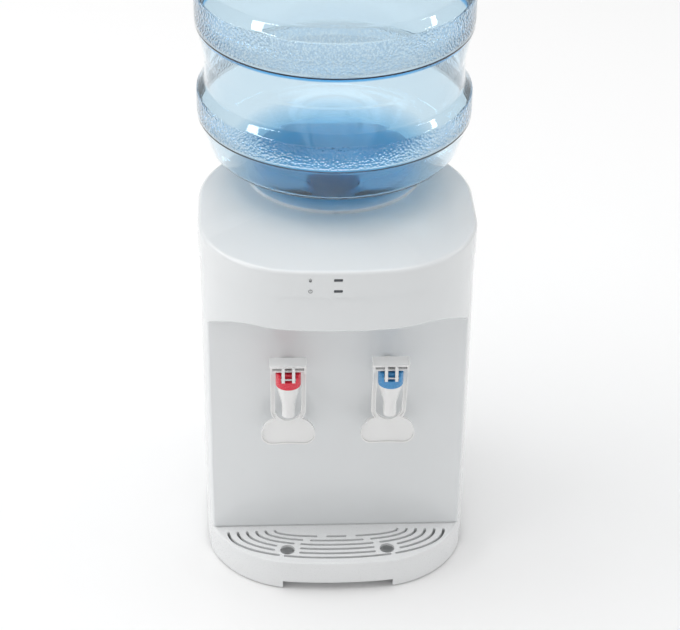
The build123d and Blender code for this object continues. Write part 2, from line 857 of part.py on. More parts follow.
pocket_half_w = 7.5
pocket_half_h = 5.4
rocker_y = rear_face_y - 1.4
with BuildPart() as switch_housing:
    with BuildSketch(Plane.XZ.offset(-rear_face_y)):
        with Locations((0, switch_z)):
            RectangleRounded(switch_w + 3, switch_h + 3, 1.5)
    extrude(amount=-1.6)
    with BuildSketch(Plane.XZ.offset(-rear_face_y)):
        with Locations((0, switch_z)):
            Rectangle(switch_w - 1.2, switch_h - 1.2)
    extrude(amount=18)
    with BuildSketch(Plane.XZ.offset(-rear_face_y - 2)):
        with Locations((0, switch_z)):
            Rectangle(2 * pocket_half_w, 2 * pocket_half_h)
    extrude(amount=12, mode=Mode.SUBTRACT)
    with Locations((-5, rear_face_y - 21, switch_z), (5, rear_face_y - 21, switch_z)):
        Box(0.8, 6, 5)
    with Locations(Location((0, rocker_y, switch_z), (0, 90, 0))):
        Cylinder(1.06, 2 * pocket_half_w + 1.8, mode=Mode.SUBTRACT)
export(switch_housing.part, "switch_housing")

rocker_tilt = 7.0
with BuildPart() as rocker:
    with BuildSketch(Plane.YZ):
        with BuildLine():
            Polyline((-3.2, -4.3), (2.5, -4.3), (1.9, 0), (2.5, 4.3), (-3.2, 4.3), close=True)
        make_face()
    extrude(amount=pocket_half_w - 0.35, both=True)
    with Locations(Location((0, 0, 0), (0, 90, 0))):
        Cylinder(1.0, 2 * pocket_half_w + 1.4)
heater_rocker = Pos(0, rocker_y, switch_z) * Rot(-rocker_tilt, 0, 0) * rocker.part
export(heater_rocker, "heater_rocker")

with BuildPart() as case_screws:
    with BuildSketch(Plane.XZ.offset(-rear_face_y)):
        with Locations(*[p for z in screw_z for p in screw_hole_places(z)]):
            Circle(3.2)
    extrude(amount=-2)
    fillet([e for e in case_screws.edges() if e.center().Y > rear_face_y + 1.9], 1.2)
    with BuildSketch(Plane.XZ.offset(-rear_face_y)):
        with Locations(*[p for z in screw_z for p in screw_hole_places(z)]):
            Circle(1.7)
    extrude(amount=10)
    with BuildSketch(Plane.XZ.offset(-rear_face_y - 2)):
        with Locations(*[p for z in screw_z for p in screw_hole_places(z)]):
            Rectangle(3.2, 0.8)
            Rectangle(0.8, 3.2)
    extrude(amount=1.0, mode=Mode.SUBTRACT)
export(case_screws.part, "case_screws")

# --- taps -------------------------------------------------------------------------------------------
# Both taps are alike; one is modelled on the middle plane and moved to each side.
body_top_z = 245.0
neck_top_z = 247.0
ring_r = 12.3
nozzle_r = 6.35
nozzle_z = 207.6
taper_end_z = 222.6
seat_z = 234.5
chamber_r = 7.0
spout_bore_r = 4.2
shank_r = 8.0
panel_in_y = niche_y + wall
gasket_t = 1.5
cap_top_z = 260.0
pivot_y = -154.0
pivot_z = 256.0
stem_r = 2.0

with BuildPart() as tap_body:
    add(
        turned(
            [
                (0, nozzle_z),
                (nozzle_r, nozzle_z),
                (nozzle_r, taper_end_z),
                (ring_r - 0.2, body_top_z),
                (9.8, body_top_z),
                (9.8, neck_top_z),
                (0, neck_top_z),
            ],
            tap_y,
        )
    )
    with BuildSketch(Plane.XZ.offset(-tap_y)):
        with Locations((0, shank_z)):
            Circle(shank_r)
    extrude(amount=tap_y - panel_in_y - 8.0)
    with BuildSketch(Plane.XZ.offset(-niche_y + gasket_t + 3)):
        with Locations((0, shank_z)):
            Circle(11.5)
    extrude(amount=-3)
    with BuildSketch(Plane.XZ.offset(-panel_in_y - 7.5)):
        with Locations((0, shank_z)):
            Circle(nipple_r)
    extrude(amount=-12)
    # water way: along the shank, into the valve chamber and down the nozzle
    with BuildSketch(Plane.XZ.offset(-tap_y - chamber_r + 1)):
        with Locations((0, shank_z)):
            Circle(nipple_r - 1.2)
    extrude(amount=-60, mode=Mode.SUBTRACT)
    with BuildSketch(Plane.XY.offset(seat_z)):
        with Locations((0, tap_y)):
            Circle(chamber_r)
    extrude(amount=20, mode=Mode.SUBTRACT)
    with BuildSketch(Plane.XY.offset(nozzle_z)):
        with Locations((0, tap_y)):
            Circle(spout_bore_r)
    extrude(amount=30, mode=Mode.SUBTRACT)

with BuildPart() as tap_cap:
    add(
        turned(
            [
                (9.85, body_top_z),
                (ring_r, body_top_z),
                (ring_r, cap_top_z),
                (stem_r + 0.1, cap_top_z),
                (stem_r + 0.1, cap_top_z - 2.5),
                (7.6, cap_top_z - 2.5),
                (7.6, neck_top_z + 1.4),
                (9.85, neck_top_z + 1.4),
            ],
            tap_y,
        )
    )
    cap_rim = [e for e in tap_cap.edges() if size_of(e).size.X > 24 and size_of(e).min.Z > cap_top_z - 0.1]
    fillet(cap_rim, 0.8)
    # lugs either side of the window, bored for the lever pin
    with Locations((-8.3, -152.2, 256), (8.3, -152.2, 256)):
        Box(2.2, 8.4, 6)
    with Locations((0, -155.7, 257.7)):
        Box(14.4, 8, 8.6, mode=Mode.SUBTRACT)
    with Locations(Location((0, pivot_y, pivot_z), (0, 90, 0))):
        Cylinder(1.02, 30, mode=Mode.SUBTRACT)

with BuildPart() as tap_diaphragm:
    add(
        turned(
            [
                (stem_r + 0.05, neck_top_z + 0.05),
                (9.7, neck_top_z + 0.05),
                (9.7, neck_top_z + 1.35),
                (stem_r + 0.05, neck_top_z + 1.35),
            ],
            tap_y,
        )
    )

collar_z = 249.4
spring_top_z = cap_top_z - 2.5
stem_head_z = 265.2
with BuildPart() as tap_stem:
    add(
        turned(
            [
                (0, seat_z + 0.4),
                (stem_r, seat_z + 0.4),
                (stem_r, collar_z),
                (5.4, collar_z),
                (5.4, collar_z + 1),
                (stem_r, collar_z + 1),
                (stem_r, stem_head_z),
                (4.5, stem_head_z),
                (4.5, stem_head_z + 1.4),
                (0, stem_head_z + 1.4),
            ],
            tap_y,
        )
    )

with BuildPart() as valve_plug:
    add(
        turned(
            [
                (0, seat_z + 0.05),
                (5.8, seat_z + 0.05),
                (5.8, seat_z + 1.6),
                (3.6, seat_z + 3.4),
                (stem_r, seat_z + 3.4),
                (stem_r, seat_z + 0.4),
                (0, seat_z + 0.4),
            ],
            tap_y,
        )
    )

wire_r = 0.4
with BuildPart() as tap_spring:
    start_z = collar_z + 1 + wire_r
    with BuildLine() as coil:
        Helix(1.5, spring_top_z - start_z - wire_r, 4.0, center=(0, tap_y, start_z))
    with BuildSketch(Plane(origin=coil.line @ 0, z_dir=coil.line % 0)):
        Circle(wire_r)
    sweep(path=coil.line, is_frenet=True)

# lever: a dished paddle on two arms round the nozzle, under a bracket over the stem head
bracket_top_z = 270.0
bracket_half_w = 18.0
arm_in = 12.9
arm_out = 17.3
arm_low_z = 204.0
plate_t = 3.2
rim_w = 1.2
dish = 1.3
loop_low_z = 187.5
plate_line = [(-147.5, 272.0), (-143.4, 250.0), (-127.4, 191.0), (-126.2, 184.0), (-126.2, 150.0)]

with BuildSketch(Plane.XZ) as lever_face:
    # right half: down the arm, round the paddle and back up the opening round the nozzle
    with BuildLine():
        Line((arm_out, bracket_top_z - 1), (arm_out, arm_low_z))
        ThreePointArc((arm_out, arm_low_z), (16.5, 196.4), (13.6, 189.6))
        ThreePointArc((13.6, 189.6), (23.2, 181.6), (26.8, 170.6))
        ThreePointArc((26.8, 170.6), (24.0, 161.2), (15.0, 157.6))
        Line((15.0, 157.6), (0, 158.4))
        Line((0, 158.4), (0, loop_low_z))
        ThreePointArc((0, loop_low_z), (5.2, 188.6), (9.4, 192.4))
        ThreePointArc((9.4, 192.4), (12.0, 197.2), (arm_in, arm_low_z))
        Line((arm_in, arm_low_z), (arm_in, bracket_top_z - 1))
        Line((arm_in, bracket_top_z - 1), (arm_out, bracket_top_z - 1))
    make_face()
    mirror(about=Plane.YZ)

with BuildSketch(Plane.XZ) as lever_dish:
    add(lever_face.sketch)
    offset(amount=-rim_w, mode=Mode.REPLACE)


def side_band(front, back):
    """Side view of the lever plate between two depths behind its front face."""
    with BuildSketch(Plane.YZ) as band:
        with BuildLine():
            Polyline(
                *[(y + front, z) for y, z in plate_line],
                *[(y + back, z) for y, z in plate_line[::-1]],
                close=True,
            )
        make_face()
    return band.sketch


with BuildPart() as dish_hollow:
    extrude(lever_dish.sketch, amount=200)
    extrude(side_band(-1, dish), amount=40, both=True, mode=Mode.INTERSECT)

with BuildPart() as tap_lever:
    extrude(lever_face.sketch, amount=200)
    extrude(side_band(0, plate_t), amount=40, both=True, mode=Mode.INTERSECT)
    add(dish_hollow.part, mode=Mode.SUBTRACT)
    # top plate with raised side edges
    with BuildSketch(Plane.XY.offset(bracket_top_z - 2)):
        with Locations((0, tap_y - 0.5)):
            RectangleRounded(2 * bracket_half_w, 15.5, 1.5)
    extrude(amount=2)
    for x in (-bracket_half_w + 0.7, bracket_half_w - 0.7):
        with Locations((x, tap_y - 0.5, bracket_top_z - 0.2)):
            Box(1.4, 13.5, 1.6)
    # cheeks below the top plate, and a web under the stem head
    for x in (-bracket_half_w + 1.6, bracket_half_w - 1.6):
        with Locations((x, tap_y - 0.6, bracket_top_z - 5.4)):
            Box(2.2, 12, 8.8)
    with Locations((0, tap_y - 0.2, 262.9)):
        Box(2 * bracket_half_w - 3, 11.6, 1.8)
    with BuildSketch(Plane.XY.offset(260)):
        with Locations((0, tap_y)):
            Circle(3.6)
    extrude(amount=6, mode=Mode.SUBTRACT)
    # prongs that ride on the pin
    for x in (-6.5, 3.5):
        with BuildSketch(Plane.YZ.offset(x)):
            with BuildLine():
                Polyline(
                    (-149.8, bracket_top_z - 1),
                    (-155.0, bracket_top_z - 1),
                    (-156.6, 266.5),
                    (-156.6, 253.8),
                    (-152.2, 253.8),
                    (-152.2, 260.5),
                    (-149.8, 262.0),
                    close=True,
                )
            make_face()
        extrude(amount=3)
    with Locations(Location((0, pivot_y, pivot_z), (0, 90, 0))):
        Cylinder(1.06, 20, mode=Mode.SUBTRACT)

with BuildPart() as tap_nut:
    with BuildSketch(Plane.XZ.offset(-panel_in_y)):
        with Locations((0, shank_z)):
            RegularPolygon(13.5, 6)
            Circle(shank_r + 0.05, mode=Mode.SUBTRACT)
    extrude(amount=-6.5)

with BuildPart() as tap_gasket:
    with BuildSketch(Plane.XZ.offset(-niche_y)):
        with Locations((0, shank_z)):
            Circle(10.8)
            Circle(shank_r + 0.05, mode=Mode.SUBTRACT)
    extrude(amount=gasket_t)

with BuildPart() as lever_pin:
    with Locations(Location((0, pivot_y, pivot_z), (0, 90, 0))):
        Cylinder(1.0, 18.8)

for side, x in (("hot", -tap_x), ("cold", tap_x)):
    export(Pos(x, 0, 0) * tap_body.part, f"{side}_tap_body")
    export(Pos(x, 0, 0) * tap_cap.part, f"{side}_tap_cap")
    export(Pos(x, 0, 0) * tap_stem.part, f"{side}_tap_stem")
    export(Pos(x, 0, 0) * valve_plug.part, f"{side}_valve_plug")
    export(Pos(x, 0, 0) * tap_spring.part, f"{side}_tap_spring")
    export(Pos(x, 0, 0) * tap_lever.part, f"{side}_tap_lever")


def pair(piece):
    """The same piece at both taps, as one group of two solids."""
    with BuildPart() as group:
        add(Pos(-tap_x, 0, 0) * piece)
        add(Pos(tap_x, 0, 0) * piece)
    return group.part


export(pair(tap_nut.part), "tap_nuts")
export(pair(tap_gasket.part), "tap_gaskets")
export(pair(tap_diaphragm.part), "tap_diaphragms")
export(pair(lever_pin.part), "lever_pins")

# --- bottle -------------------------------------------------------------------------------------------
bottle_t = 2.0
neck_r = 27.5
neck_z = 321.0
# outline from the open neck up to the closed base: radius, height, corner rounding
bottle_outline = [
    (neck_r, neck_z, 0),
    (neck_r, 371.3, 6),
    (122.9, 419.2, 9),
    (134.6, 452.9, 2.5),
    (bottle_r, 456.0, 2.5),
    (bottle_r, 480.0, 8),
    (127.0, 489.5, 7),
    (127.0, 517.0, 12),
    (134.6, 549.0, 2.5),
    (bottle_r, 553.0, 2.5),
    (bottle_r, 586.0, 10),
    (127.0, 597.0, 7),
    (127.0, 655.0, 12),
    (bottle_r, 680.0, 8),
    (bottle_r, 712.0, 10),
    (127.0, 723.0, 7),
    (127.0, 752.0, 12),
    (bottle_r, 778.0, 8),
    (bottle_r, 818.0, 22),
    (100.0, 818.0, 5),
    (88.0, 811.0, 10),
    (0.0, 811.0, 0),
]


def moved_in(outline, distance):
    """The open outline moved inwards by the wall thickness, corner roundings adjusted to suit."""
    lines = []
    for (r0, z0, _), (r1, z1, _) in zip(outline, outline[1:]):
        length = math.hypot(r1 - r0, z1 - z0)
        nr = -(z1 - z0) / length * distance
        nz = (r1 - r0) / length * distance
        lines.append(((r0 + nr, z0 + nz), ((r1 - r0) / length, (z1 - z0) / length)))
    moved = [(*lines[0][0], 0)]
    for i in range(1, len(lines)):
        (ar, az), (adr, adz) = lines[i - 1]
        (br, bz), (bdr, bdz) = lines[i]
        cross = adr * bdz - adz * bdr
        along = ((br - ar) * bdz - (bz - az) * bdr) / cross
        rounding = outline[i][2] + (-distance if cross > 0 else distance)
        moved.append((ar + adr * along, az + adz * along, max(rounding, 0.5)))
    moved.append((0.0, lines[-1][0][1], 0))
    return moved


def filled_outline(outline):
    """Face between an outline and the axis, its corners rounded."""
    points = [(r, z) for r, z, _ in outline]
    with BuildSketch(Plane.XZ) as face:
        with BuildLine():
            FilletPolyline(*points, radius=[rounding for _, _, rounding in outline[1:-1]])
            Polyline(points[-1], (0, points[0][1]), points[0])
        make_face()
    return face.sketch


with BuildPart() as bottle:
    add(filled_outline(bottle_outline))
    revolve(axis=Axis.Z)
    with BuildPart(mode=Mode.PRIVATE) as hollow_bottle:
        add(filled_outline(moved_in(bottle_outline, bottle_t)))
        revolve(axis=Axis.Z)
    add(hollow_bottle.part, mode=Mode.SUBTRACT)
export(Pos(0, bottle_y, 0) * bottle.part, "bottle")

with BuildPart() as bottle_cap:
    add(
        turned([
            (probe_r + 0.7, neck_z - 3),
            (neck_r + 2.0, neck_z - 3),
            (neck_r + 2.0, neck_z + 24),
            (neck_r + 0.05, neck_z + 24),
            (neck_r + 0.05, neck_z),
            (probe_r + 2.2, neck_z),
            (probe_r + 2.2, neck_z + 10),
            (probe_r + 0.7, neck_z + 10),
        ])
    )
export(bottle_cap.part, "bottle_cap")
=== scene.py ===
import bpy
import bmesh
import json
import math
from mathutils import Matrix, Vector


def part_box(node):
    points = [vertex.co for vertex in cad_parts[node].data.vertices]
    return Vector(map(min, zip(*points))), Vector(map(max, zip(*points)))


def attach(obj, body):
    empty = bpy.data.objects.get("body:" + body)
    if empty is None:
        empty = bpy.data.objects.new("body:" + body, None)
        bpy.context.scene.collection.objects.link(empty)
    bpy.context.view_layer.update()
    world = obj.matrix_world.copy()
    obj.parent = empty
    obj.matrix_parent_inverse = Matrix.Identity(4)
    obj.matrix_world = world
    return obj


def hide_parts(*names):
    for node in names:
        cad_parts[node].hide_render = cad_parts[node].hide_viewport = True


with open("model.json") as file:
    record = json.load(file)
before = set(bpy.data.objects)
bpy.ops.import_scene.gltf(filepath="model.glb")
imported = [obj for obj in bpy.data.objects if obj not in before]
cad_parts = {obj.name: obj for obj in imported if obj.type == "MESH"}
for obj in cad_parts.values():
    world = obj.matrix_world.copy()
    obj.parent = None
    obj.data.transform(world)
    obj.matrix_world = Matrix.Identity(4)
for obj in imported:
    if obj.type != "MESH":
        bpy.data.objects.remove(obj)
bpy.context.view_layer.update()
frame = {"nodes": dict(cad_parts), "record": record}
nodes = frame["nodes"]
print("frame loaded:", len(nodes), "nodes")


# ---- small helpers ----
def newMaterial(name):
    mat = bpy.data.materials.new(name)
    mat.use_nodes = True
    tree = mat.node_tree
    return mat, tree, tree.nodes["Principled BSDF"]


def addNode(tree, kind, **settings):
    node = tree.nodes.new(kind)
    for key, value in settings.items():
        setattr(node, key, value)
    return node


def noiseOn(tree, scale, detail=2.0, roughness=0.5):
    coords = addNode(tree, "ShaderNodeTexCoord")
    noise = addNode(tree, "ShaderNodeTexNoise")
    noise.inputs["Scale"].default_value = scale
    noise.inputs["Detail"].default_value = detail
    noise.inputs["Roughness"].default_value = roughness
    tree.links.new(coords.outputs["Object"], noise.inputs["Vector"])
    return noise


def rangeOf(tree, source, low, high, fromLow=0.3, fromHigh=0.7):
    remap = addNode(tree, "ShaderNodeMapRange")
    remap.inputs["From Min"].default_value = fromLow
    remap.inputs["From Max"].default_value = fromHigh
    remap.inputs["To Min"].default_value = low
    remap.inputs["To Max"].default_value = high
    tree.links.new(source, remap.inputs["Value"])
    return remap.outputs["Result"]


def blendOf(tree, factor, colourA, colourB):
    mix = addNode(tree, "ShaderNodeMix", data_type="RGBA")
    mix.inputs[6].default_value = (*colourA, 1)
    mix.inputs[7].default_value = (*colourB, 1)
    tree.links.new(factor, mix.inputs[0])
    return mix.outputs[2]


def multiplied(tree, first, second):
    product = addNode(tree, "ShaderNodeMath", operation="MULTIPLY")
    tree.links.new(first, product.inputs[0])
    tree.links.new(second, product.inputs[1])
    return product.outputs["Value"]


def toneBy(tree, bsdf, source, light, dark):
    tone = blendOf(tree, rangeOf(tree, source, 0, 1), dark, light)
    tree.links.new(tone, bsdf.inputs["Base Color"])


def roughBy(tree, bsdf, source, low, high):
    tree.links.new(rangeOf(tree, source, low, high), bsdf.inputs["Roughness"])


def bumpFrom(tree, bsdf, height, strength, distance):
    bump = addNode(tree, "ShaderNodeBump")
    bump.inputs["Strength"].default_value = strength
    bump.inputs["Distance"].default_value = distance
    tree.links.new(height, bump.inputs["Height"])
    tree.links.new(bump.outputs["Normal"], bsdf.inputs["Normal"])


def mouldedPlastic(name, light, dark, roughness, grain=900.0, coat=0.0, bump=0.00003, soft=0.0):
    mat, tree, bsdf = newMaterial(name)
    cloud = noiseOn(tree, 14.0, 3.0)
    toneBy(tree, bsdf, cloud.outputs["Fac"], light, dark)
    fine = noiseOn(tree, grain, 2.0)
    roughBy(tree, bsdf, fine.outputs["Fac"], roughness * 0.85, roughness * 1.2)
    bumpFrom(tree, bsdf, fine.outputs["Fac"], 0.25, bump)
    bsdf.inputs["IOR"].default_value = 1.5
    bsdf.inputs["Coat Weight"].default_value = coat
    bsdf.inputs["Coat Roughness"].default_value = 0.06
    if soft:
        bsdf.inputs["Subsurface Weight"].default_value = soft
        bsdf.inputs["Subsurface Radius"].default_value = (0.004, 0.004, 0.004)
        bsdf.inputs["Subsurface Scale"].default_value = 0.5
    return mat


def metalOf(name, light, dark, roughness, grain=(40.0, 40.0, 900.0)):
    mat, tree, bsdf = newMaterial(name)
    coords = addNode(tree, "ShaderNodeTexCoord")
    stretch = addNode(tree, "ShaderNodeMapping")
    stretch.inputs["Scale"].default_value = grain
    noise = addNode(tree, "ShaderNodeTexNoise")
    noise.inputs["Scale"].default_value = 1.0
    noise.inputs["Detail"].default_value = 4.0
    tree.links.new(coords.outputs["Object"], stretch.inputs["Vector"])
    tree.links.new(stretch.outputs["Vector"], noise.inputs["Vector"])
    toneBy(tree, bsdf, noise.outputs["Fac"], light, dark)
    roughBy(tree, bsdf, noise.outputs["Fac"], roughness * 0.8, roughness * 1.3)
    bumpFrom(tree, bsdf, noise.outputs["Fac"], 0.3, 0.00004)
    bsdf.inputs["Metallic"].default_value = 1.0
    return mat


def rubberOf(name, light, dark, roughness, seeThrough=0.0):
    mat, tree, bsdf = newMaterial(name)
    noise = noiseOn(tree, 260.0, 5.0)
    toneBy(tree, bsdf, noise.outputs["Fac"], light, dark)
    roughBy(tree, bsdf, noise.outputs["Fac"], roughness * 0.8, roughness * 1.2)
    bumpFrom(tree, bsdf, noise.outputs["Fac"], 0.4, 0.0001)
    if seeThrough:
        bsdf.inputs["Subsurface Weight"].default_value = seeThrough
        bsdf.inputs["Subsurface Radius"].default_value = (0.003, 0.003, 0.003)
        bsdf.inputs["Subsurface Scale"].default_value = 0.5
    return mat


# ---- bottle polycarbonate: clear tint, deeper by the neck with painted glow, pebbled on the bands with painted shade in the hollows and along a crease ----
bottleLook = {
    "axisY": 0.0305,
    "clearTint": (0.835, 0.915, 0.955),
    "deepTintAndGlow": (0.10, 0.60, 0.96),
    "paintedGlowClearness": 0.55,  # partly the thick neck moulding's deeper blue, partly painted glow: the neck turns partly diffuse blue to stand in for light coming through the dome
    "pebbleShadeTint": (0.16, 0.44, 0.76),
    "creaseShadeTint": (0.10, 0.46, 0.86),
    "creaseShadeSpan": (0.5470, 0.5520),
    "deepGlowFrom": 0.108,
    "deepGlowTo": 0.070,
    "wallColour": (0.10, 0.58, 0.86),  # what the wall keeps of the light, deeper where it is seen edge on
    "wallDensity": 34.0,
    "ior": 1.17,
    "coatIor": 1.5,
    "roughness": 0.02,
    "pebbleSize": 0.0024,
    "pebbleDepth": 0.0015,
    "bandEdges": [(0.4575, 0.4835), (0.5545, 0.5870), (0.6815, 0.7130), (0.7795, 0.8100)],
}


def bottleMaterial(look, axisY):
    mat, tree, bsdf = newMaterial("bottlePolycarbonate")
    coords = addNode(tree, "ShaderNodeTexCoord")
    centre = addNode(tree, "ShaderNodeMapping")
    centre.inputs["Location"].default_value = (0, -axisY, 0)
    tree.links.new(coords.outputs["Object"], centre.inputs["Vector"])
    parts = addNode(tree, "ShaderNodeSeparateXYZ")
    tree.links.new(centre.outputs["Vector"], parts.inputs["Vector"])
    flat = addNode(tree, "ShaderNodeCombineXYZ")
    tree.links.new(parts.outputs["X"], flat.inputs["X"])
    tree.links.new(parts.outputs["Y"], flat.inputs["Y"])
    radius = addNode(tree, "ShaderNodeVectorMath", operation="LENGTH")
    tree.links.new(flat.outputs["Vector"], radius.inputs[0])
    # deeper blue by the neck: partly the thick moulding, partly painted glow standing in for light through
    # the dome
    deepGlowByRadius = rangeOf(tree, radius.outputs["Value"], 0, 1, look["deepGlowFrom"], look["deepGlowTo"])
    deepGlowByHeight = rangeOf(tree, parts.outputs["Z"], 0, 1, 0.46, 0.44)
    deepGlowMask = multiplied(tree, deepGlowByRadius, deepGlowByHeight)
    wallTintAndGlow = blendOf(tree, deepGlowMask, look["clearTint"], look["deepTintAndGlow"])
    # pebbles: soft cells, only inside the bands
    cells = addNode(tree, "ShaderNodeTexVoronoi", feature="SMOOTH_F1")
    cells.inputs["Scale"].default_value = 1.0 / look["pebbleSize"]
    cells.inputs["Smoothness"].default_value = 0.5
    cells.inputs["Randomness"].default_value = 1.0
    tree.links.new(coords.outputs["Object"], cells.inputs["Vector"])
    total = None
    for low, high in look["bandEdges"]:
        rise = rangeOf(tree, parts.outputs["Z"], 0, 1, low, low + 0.0015)
        fall = rangeOf(tree, parts.outputs["Z"], 1, 0, high - 0.0015, high)
        inside = multiplied(tree, rise, fall)
        if total is None:
            total = inside
        else:
            either = addNode(tree, "ShaderNodeMath", operation="ADD")
            tree.links.new(total, either.inputs[0])
            tree.links.new(inside, either.inputs[1])
            total = either.outputs["Value"]
    outerSide = rangeOf(tree, radius.outputs["Value"], 0, 1, 0.1338, 0.1346)
    masked = multiplied(tree, total, outerSide)
    height = multiplied(tree, cells.outputs["Distance"], masked)
    bumpFrom(tree, bsdf, height, 1.0, look["pebbleDepth"])
    tree.links.new(bsdf.inputs["Normal"].links[0].from_socket, bsdf.inputs["Coat Normal"])
    # painted shade: the hollows between pebbles are painted a deeper blue, standing in for the darkening that
    # refraction gives there
    hollow = rangeOf(tree, cells.outputs["Distance"], 0, 1, 0.34, 0.50)
    hollowShadeInBand = multiplied(tree, hollow, masked)
    # glass holds more colour where it is seen edge on, so this painted shade grows there
    edgeOn = addNode(tree, "ShaderNodeLayerWeight")
    edgeOn.inputs["Blend"].default_value = 0.5
    facing = rangeOf(tree, edgeOn.outputs["Facing"], 0.42, 1.0, 0.20, 0.70)
    hollowShadeDepth = multiplied(tree, hollowShadeInBand, facing)
    speckleShaded = addNode(tree, "ShaderNodeMix", data_type="RGBA")
    speckleShaded.inputs[7].default_value = (*look["pebbleShadeTint"], 1)
    tree.links.new(hollowShadeDepth, speckleShaded.inputs[0])
    tree.links.new(wallTintAndGlow, speckleShaded.inputs[6])
    # painted shade: a deeper blue painted along the sharp crease under the second band, standing in for the
    # dark line the rounded wall shows there
    creaseLow, creaseHigh = look["creaseShadeSpan"]
    creaseRise = rangeOf(tree, parts.outputs["Z"], 0, 1, creaseLow, creaseLow + 0.0012)
    creaseFall = rangeOf(tree, parts.outputs["Z"], 1, 0, creaseHigh - 0.0012, creaseHigh)
    crease = multiplied(tree, creaseRise, creaseFall)
    creaseShaded = addNode(tree, "ShaderNodeMix", data_type="RGBA")
    creaseShaded.inputs[7].default_value = (*look["creaseShadeTint"], 1)
    tree.links.new(crease, creaseShaded.inputs[0])
    tree.links.new(speckleShaded.outputs[2], creaseShaded.inputs[6])
    tree.links.new(creaseShaded.outputs[2], bsdf.inputs["Base Color"])
    ripple = noiseOn(tree, 9.0, 1.0)
    haze = rangeOf(tree, ripple.outputs["Fac"], look["roughness"] * 0.6, look["roughness"] * 1.4)
    tree.links.new(haze, bsdf.inputs["Roughness"])
    # painted glow: transmission drops by the neck, so that region shows diffuse blue in place of light coming
    # through the dome
    glowClearness = rangeOf(tree, deepGlowMask, 1.0, look["paintedGlowClearness"], 0, 1)
    tree.links.new(glowClearness, bsdf.inputs["Transmission Weight"])
    bsdf.inputs["IOR"].default_value = look["ior"]
    bsdf.inputs["Coat Weight"].default_value = 1.0
    bsdf.inputs["Coat IOR"].default_value = look["coatIor"]
    bsdf.inputs["Coat Roughness"].default_value = 0.03
    wall = addNode(tree, "ShaderNodeVolumeAbsorption")
    wall.inputs["Color"].default_value = (*look["wallColour"], 1)
    wall.inputs["Density"].default_value = look["wallDensity"]
    tree.links.new(wall.outputs["Volume"], tree.nodes["Material Output"].inputs["Volume"])
    return mat


# ---- finishes, one for each record slot ----
white = (0.815, 0.835, 0.845)
finishes = {
    "case_white": mouldedPlastic("caseGloss", white, (0.80, 0.82, 0.83), 0.16, coat=0.35),
    "tray_white": mouldedPlastic("traySatin", (0.86, 0.87, 0.875), (0.84, 0.85, 0.855), 0.30),
    # painted light: the collar is tinted light blue for the blue light that reaches it through the bottle
    "collar_white": mouldedPlastic("collarBlueLitGloss", (0.84, 0.89, 0.93), (0.82, 0.87, 0.91), 0.18, coat=0.3),
    "tap_white": mouldedPlastic(
        "tapGloss", (0.89, 0.89, 0.885), (0.87, 0.87, 0.865), 0.18, coat=0.3, soft=0.15
    ),
    "hot_red": mouldedPlastic("hotRed", (0.82, 0.035, 0.07), (0.74, 0.028, 0.058), 0.26, coat=0.2),
    "cold_blue": mouldedPlastic("coldBlue", (0.075, 0.33, 0.66), (0.06, 0.29, 0.60), 0.26, coat=0.2),
    "stem_grey": mouldedPlastic("stemGrey", (0.42, 0.41, 0.39), (0.36, 0.35, 0.34), 0.35),
    "silicone": rubberOf("siliconeClear", (0.78, 0.78, 0.75), (0.72, 0.72, 0.69), 0.45, 0.3),
    "spring_steel": metalOf("springSteel", (0.72, 0.72, 0.73), (0.6, 0.6, 0.61), 0.22, (900.0, 900.0, 900.0)),
    "bottle_blue": bottleMaterial(bottleLook, bottleLook["axisY"]),
    "tank_steel": metalOf("tankSteel", (0.72, 0.72, 0.73), (0.58, 0.58, 0.59), 0.28),
    "heater": metalOf("heaterBand", (0.52, 0.47, 0.38), (0.40, 0.36, 0.29), 0.45),
    "foam": rubberOf("foamGrey", (0.16, 0.165, 0.17), (0.10, 0.105, 0.11), 0.9),
    "reservoir_white": mouldedPlastic(
        "reservoirNatural", (0.80, 0.82, 0.82), (0.77, 0.79, 0.79), 0.4, soft=0.3
    ),
    "hose": rubberOf("hoseSilicone", (0.74, 0.74, 0.71), (0.68, 0.68, 0.65), 0.4, 0.3),
    "foot_rubber": rubberOf("footRubber", (0.035, 0.035, 0.036), (0.02, 0.02, 0.021), 0.75),
    "black_plastic": mouldedPlastic(
        "blackSatin", (0.028, 0.028, 0.03), (0.018, 0.018, 0.02), 0.38, bump=0.00008
    ),
    "rocker_red": mouldedPlastic("rockerRed", (0.55, 0.02, 0.02), (0.48, 0.016, 0.016), 0.22, coat=0.3),
    "drain_white": mouldedPlastic("drainSatin", (0.78, 0.79, 0.79), (0.74, 0.75, 0.75), 0.4),
    "board": mouldedPlastic("boardGreen", (0.03, 0.20, 0.07), (0.02, 0.14, 0.05), 0.35),
    "lens_grey": mouldedPlastic("lensSmoke", (0.05, 0.055, 0.07), (0.035, 0.04, 0.05), 0.12, coat=0.6),
}
print("materials ready:", len(finishes))


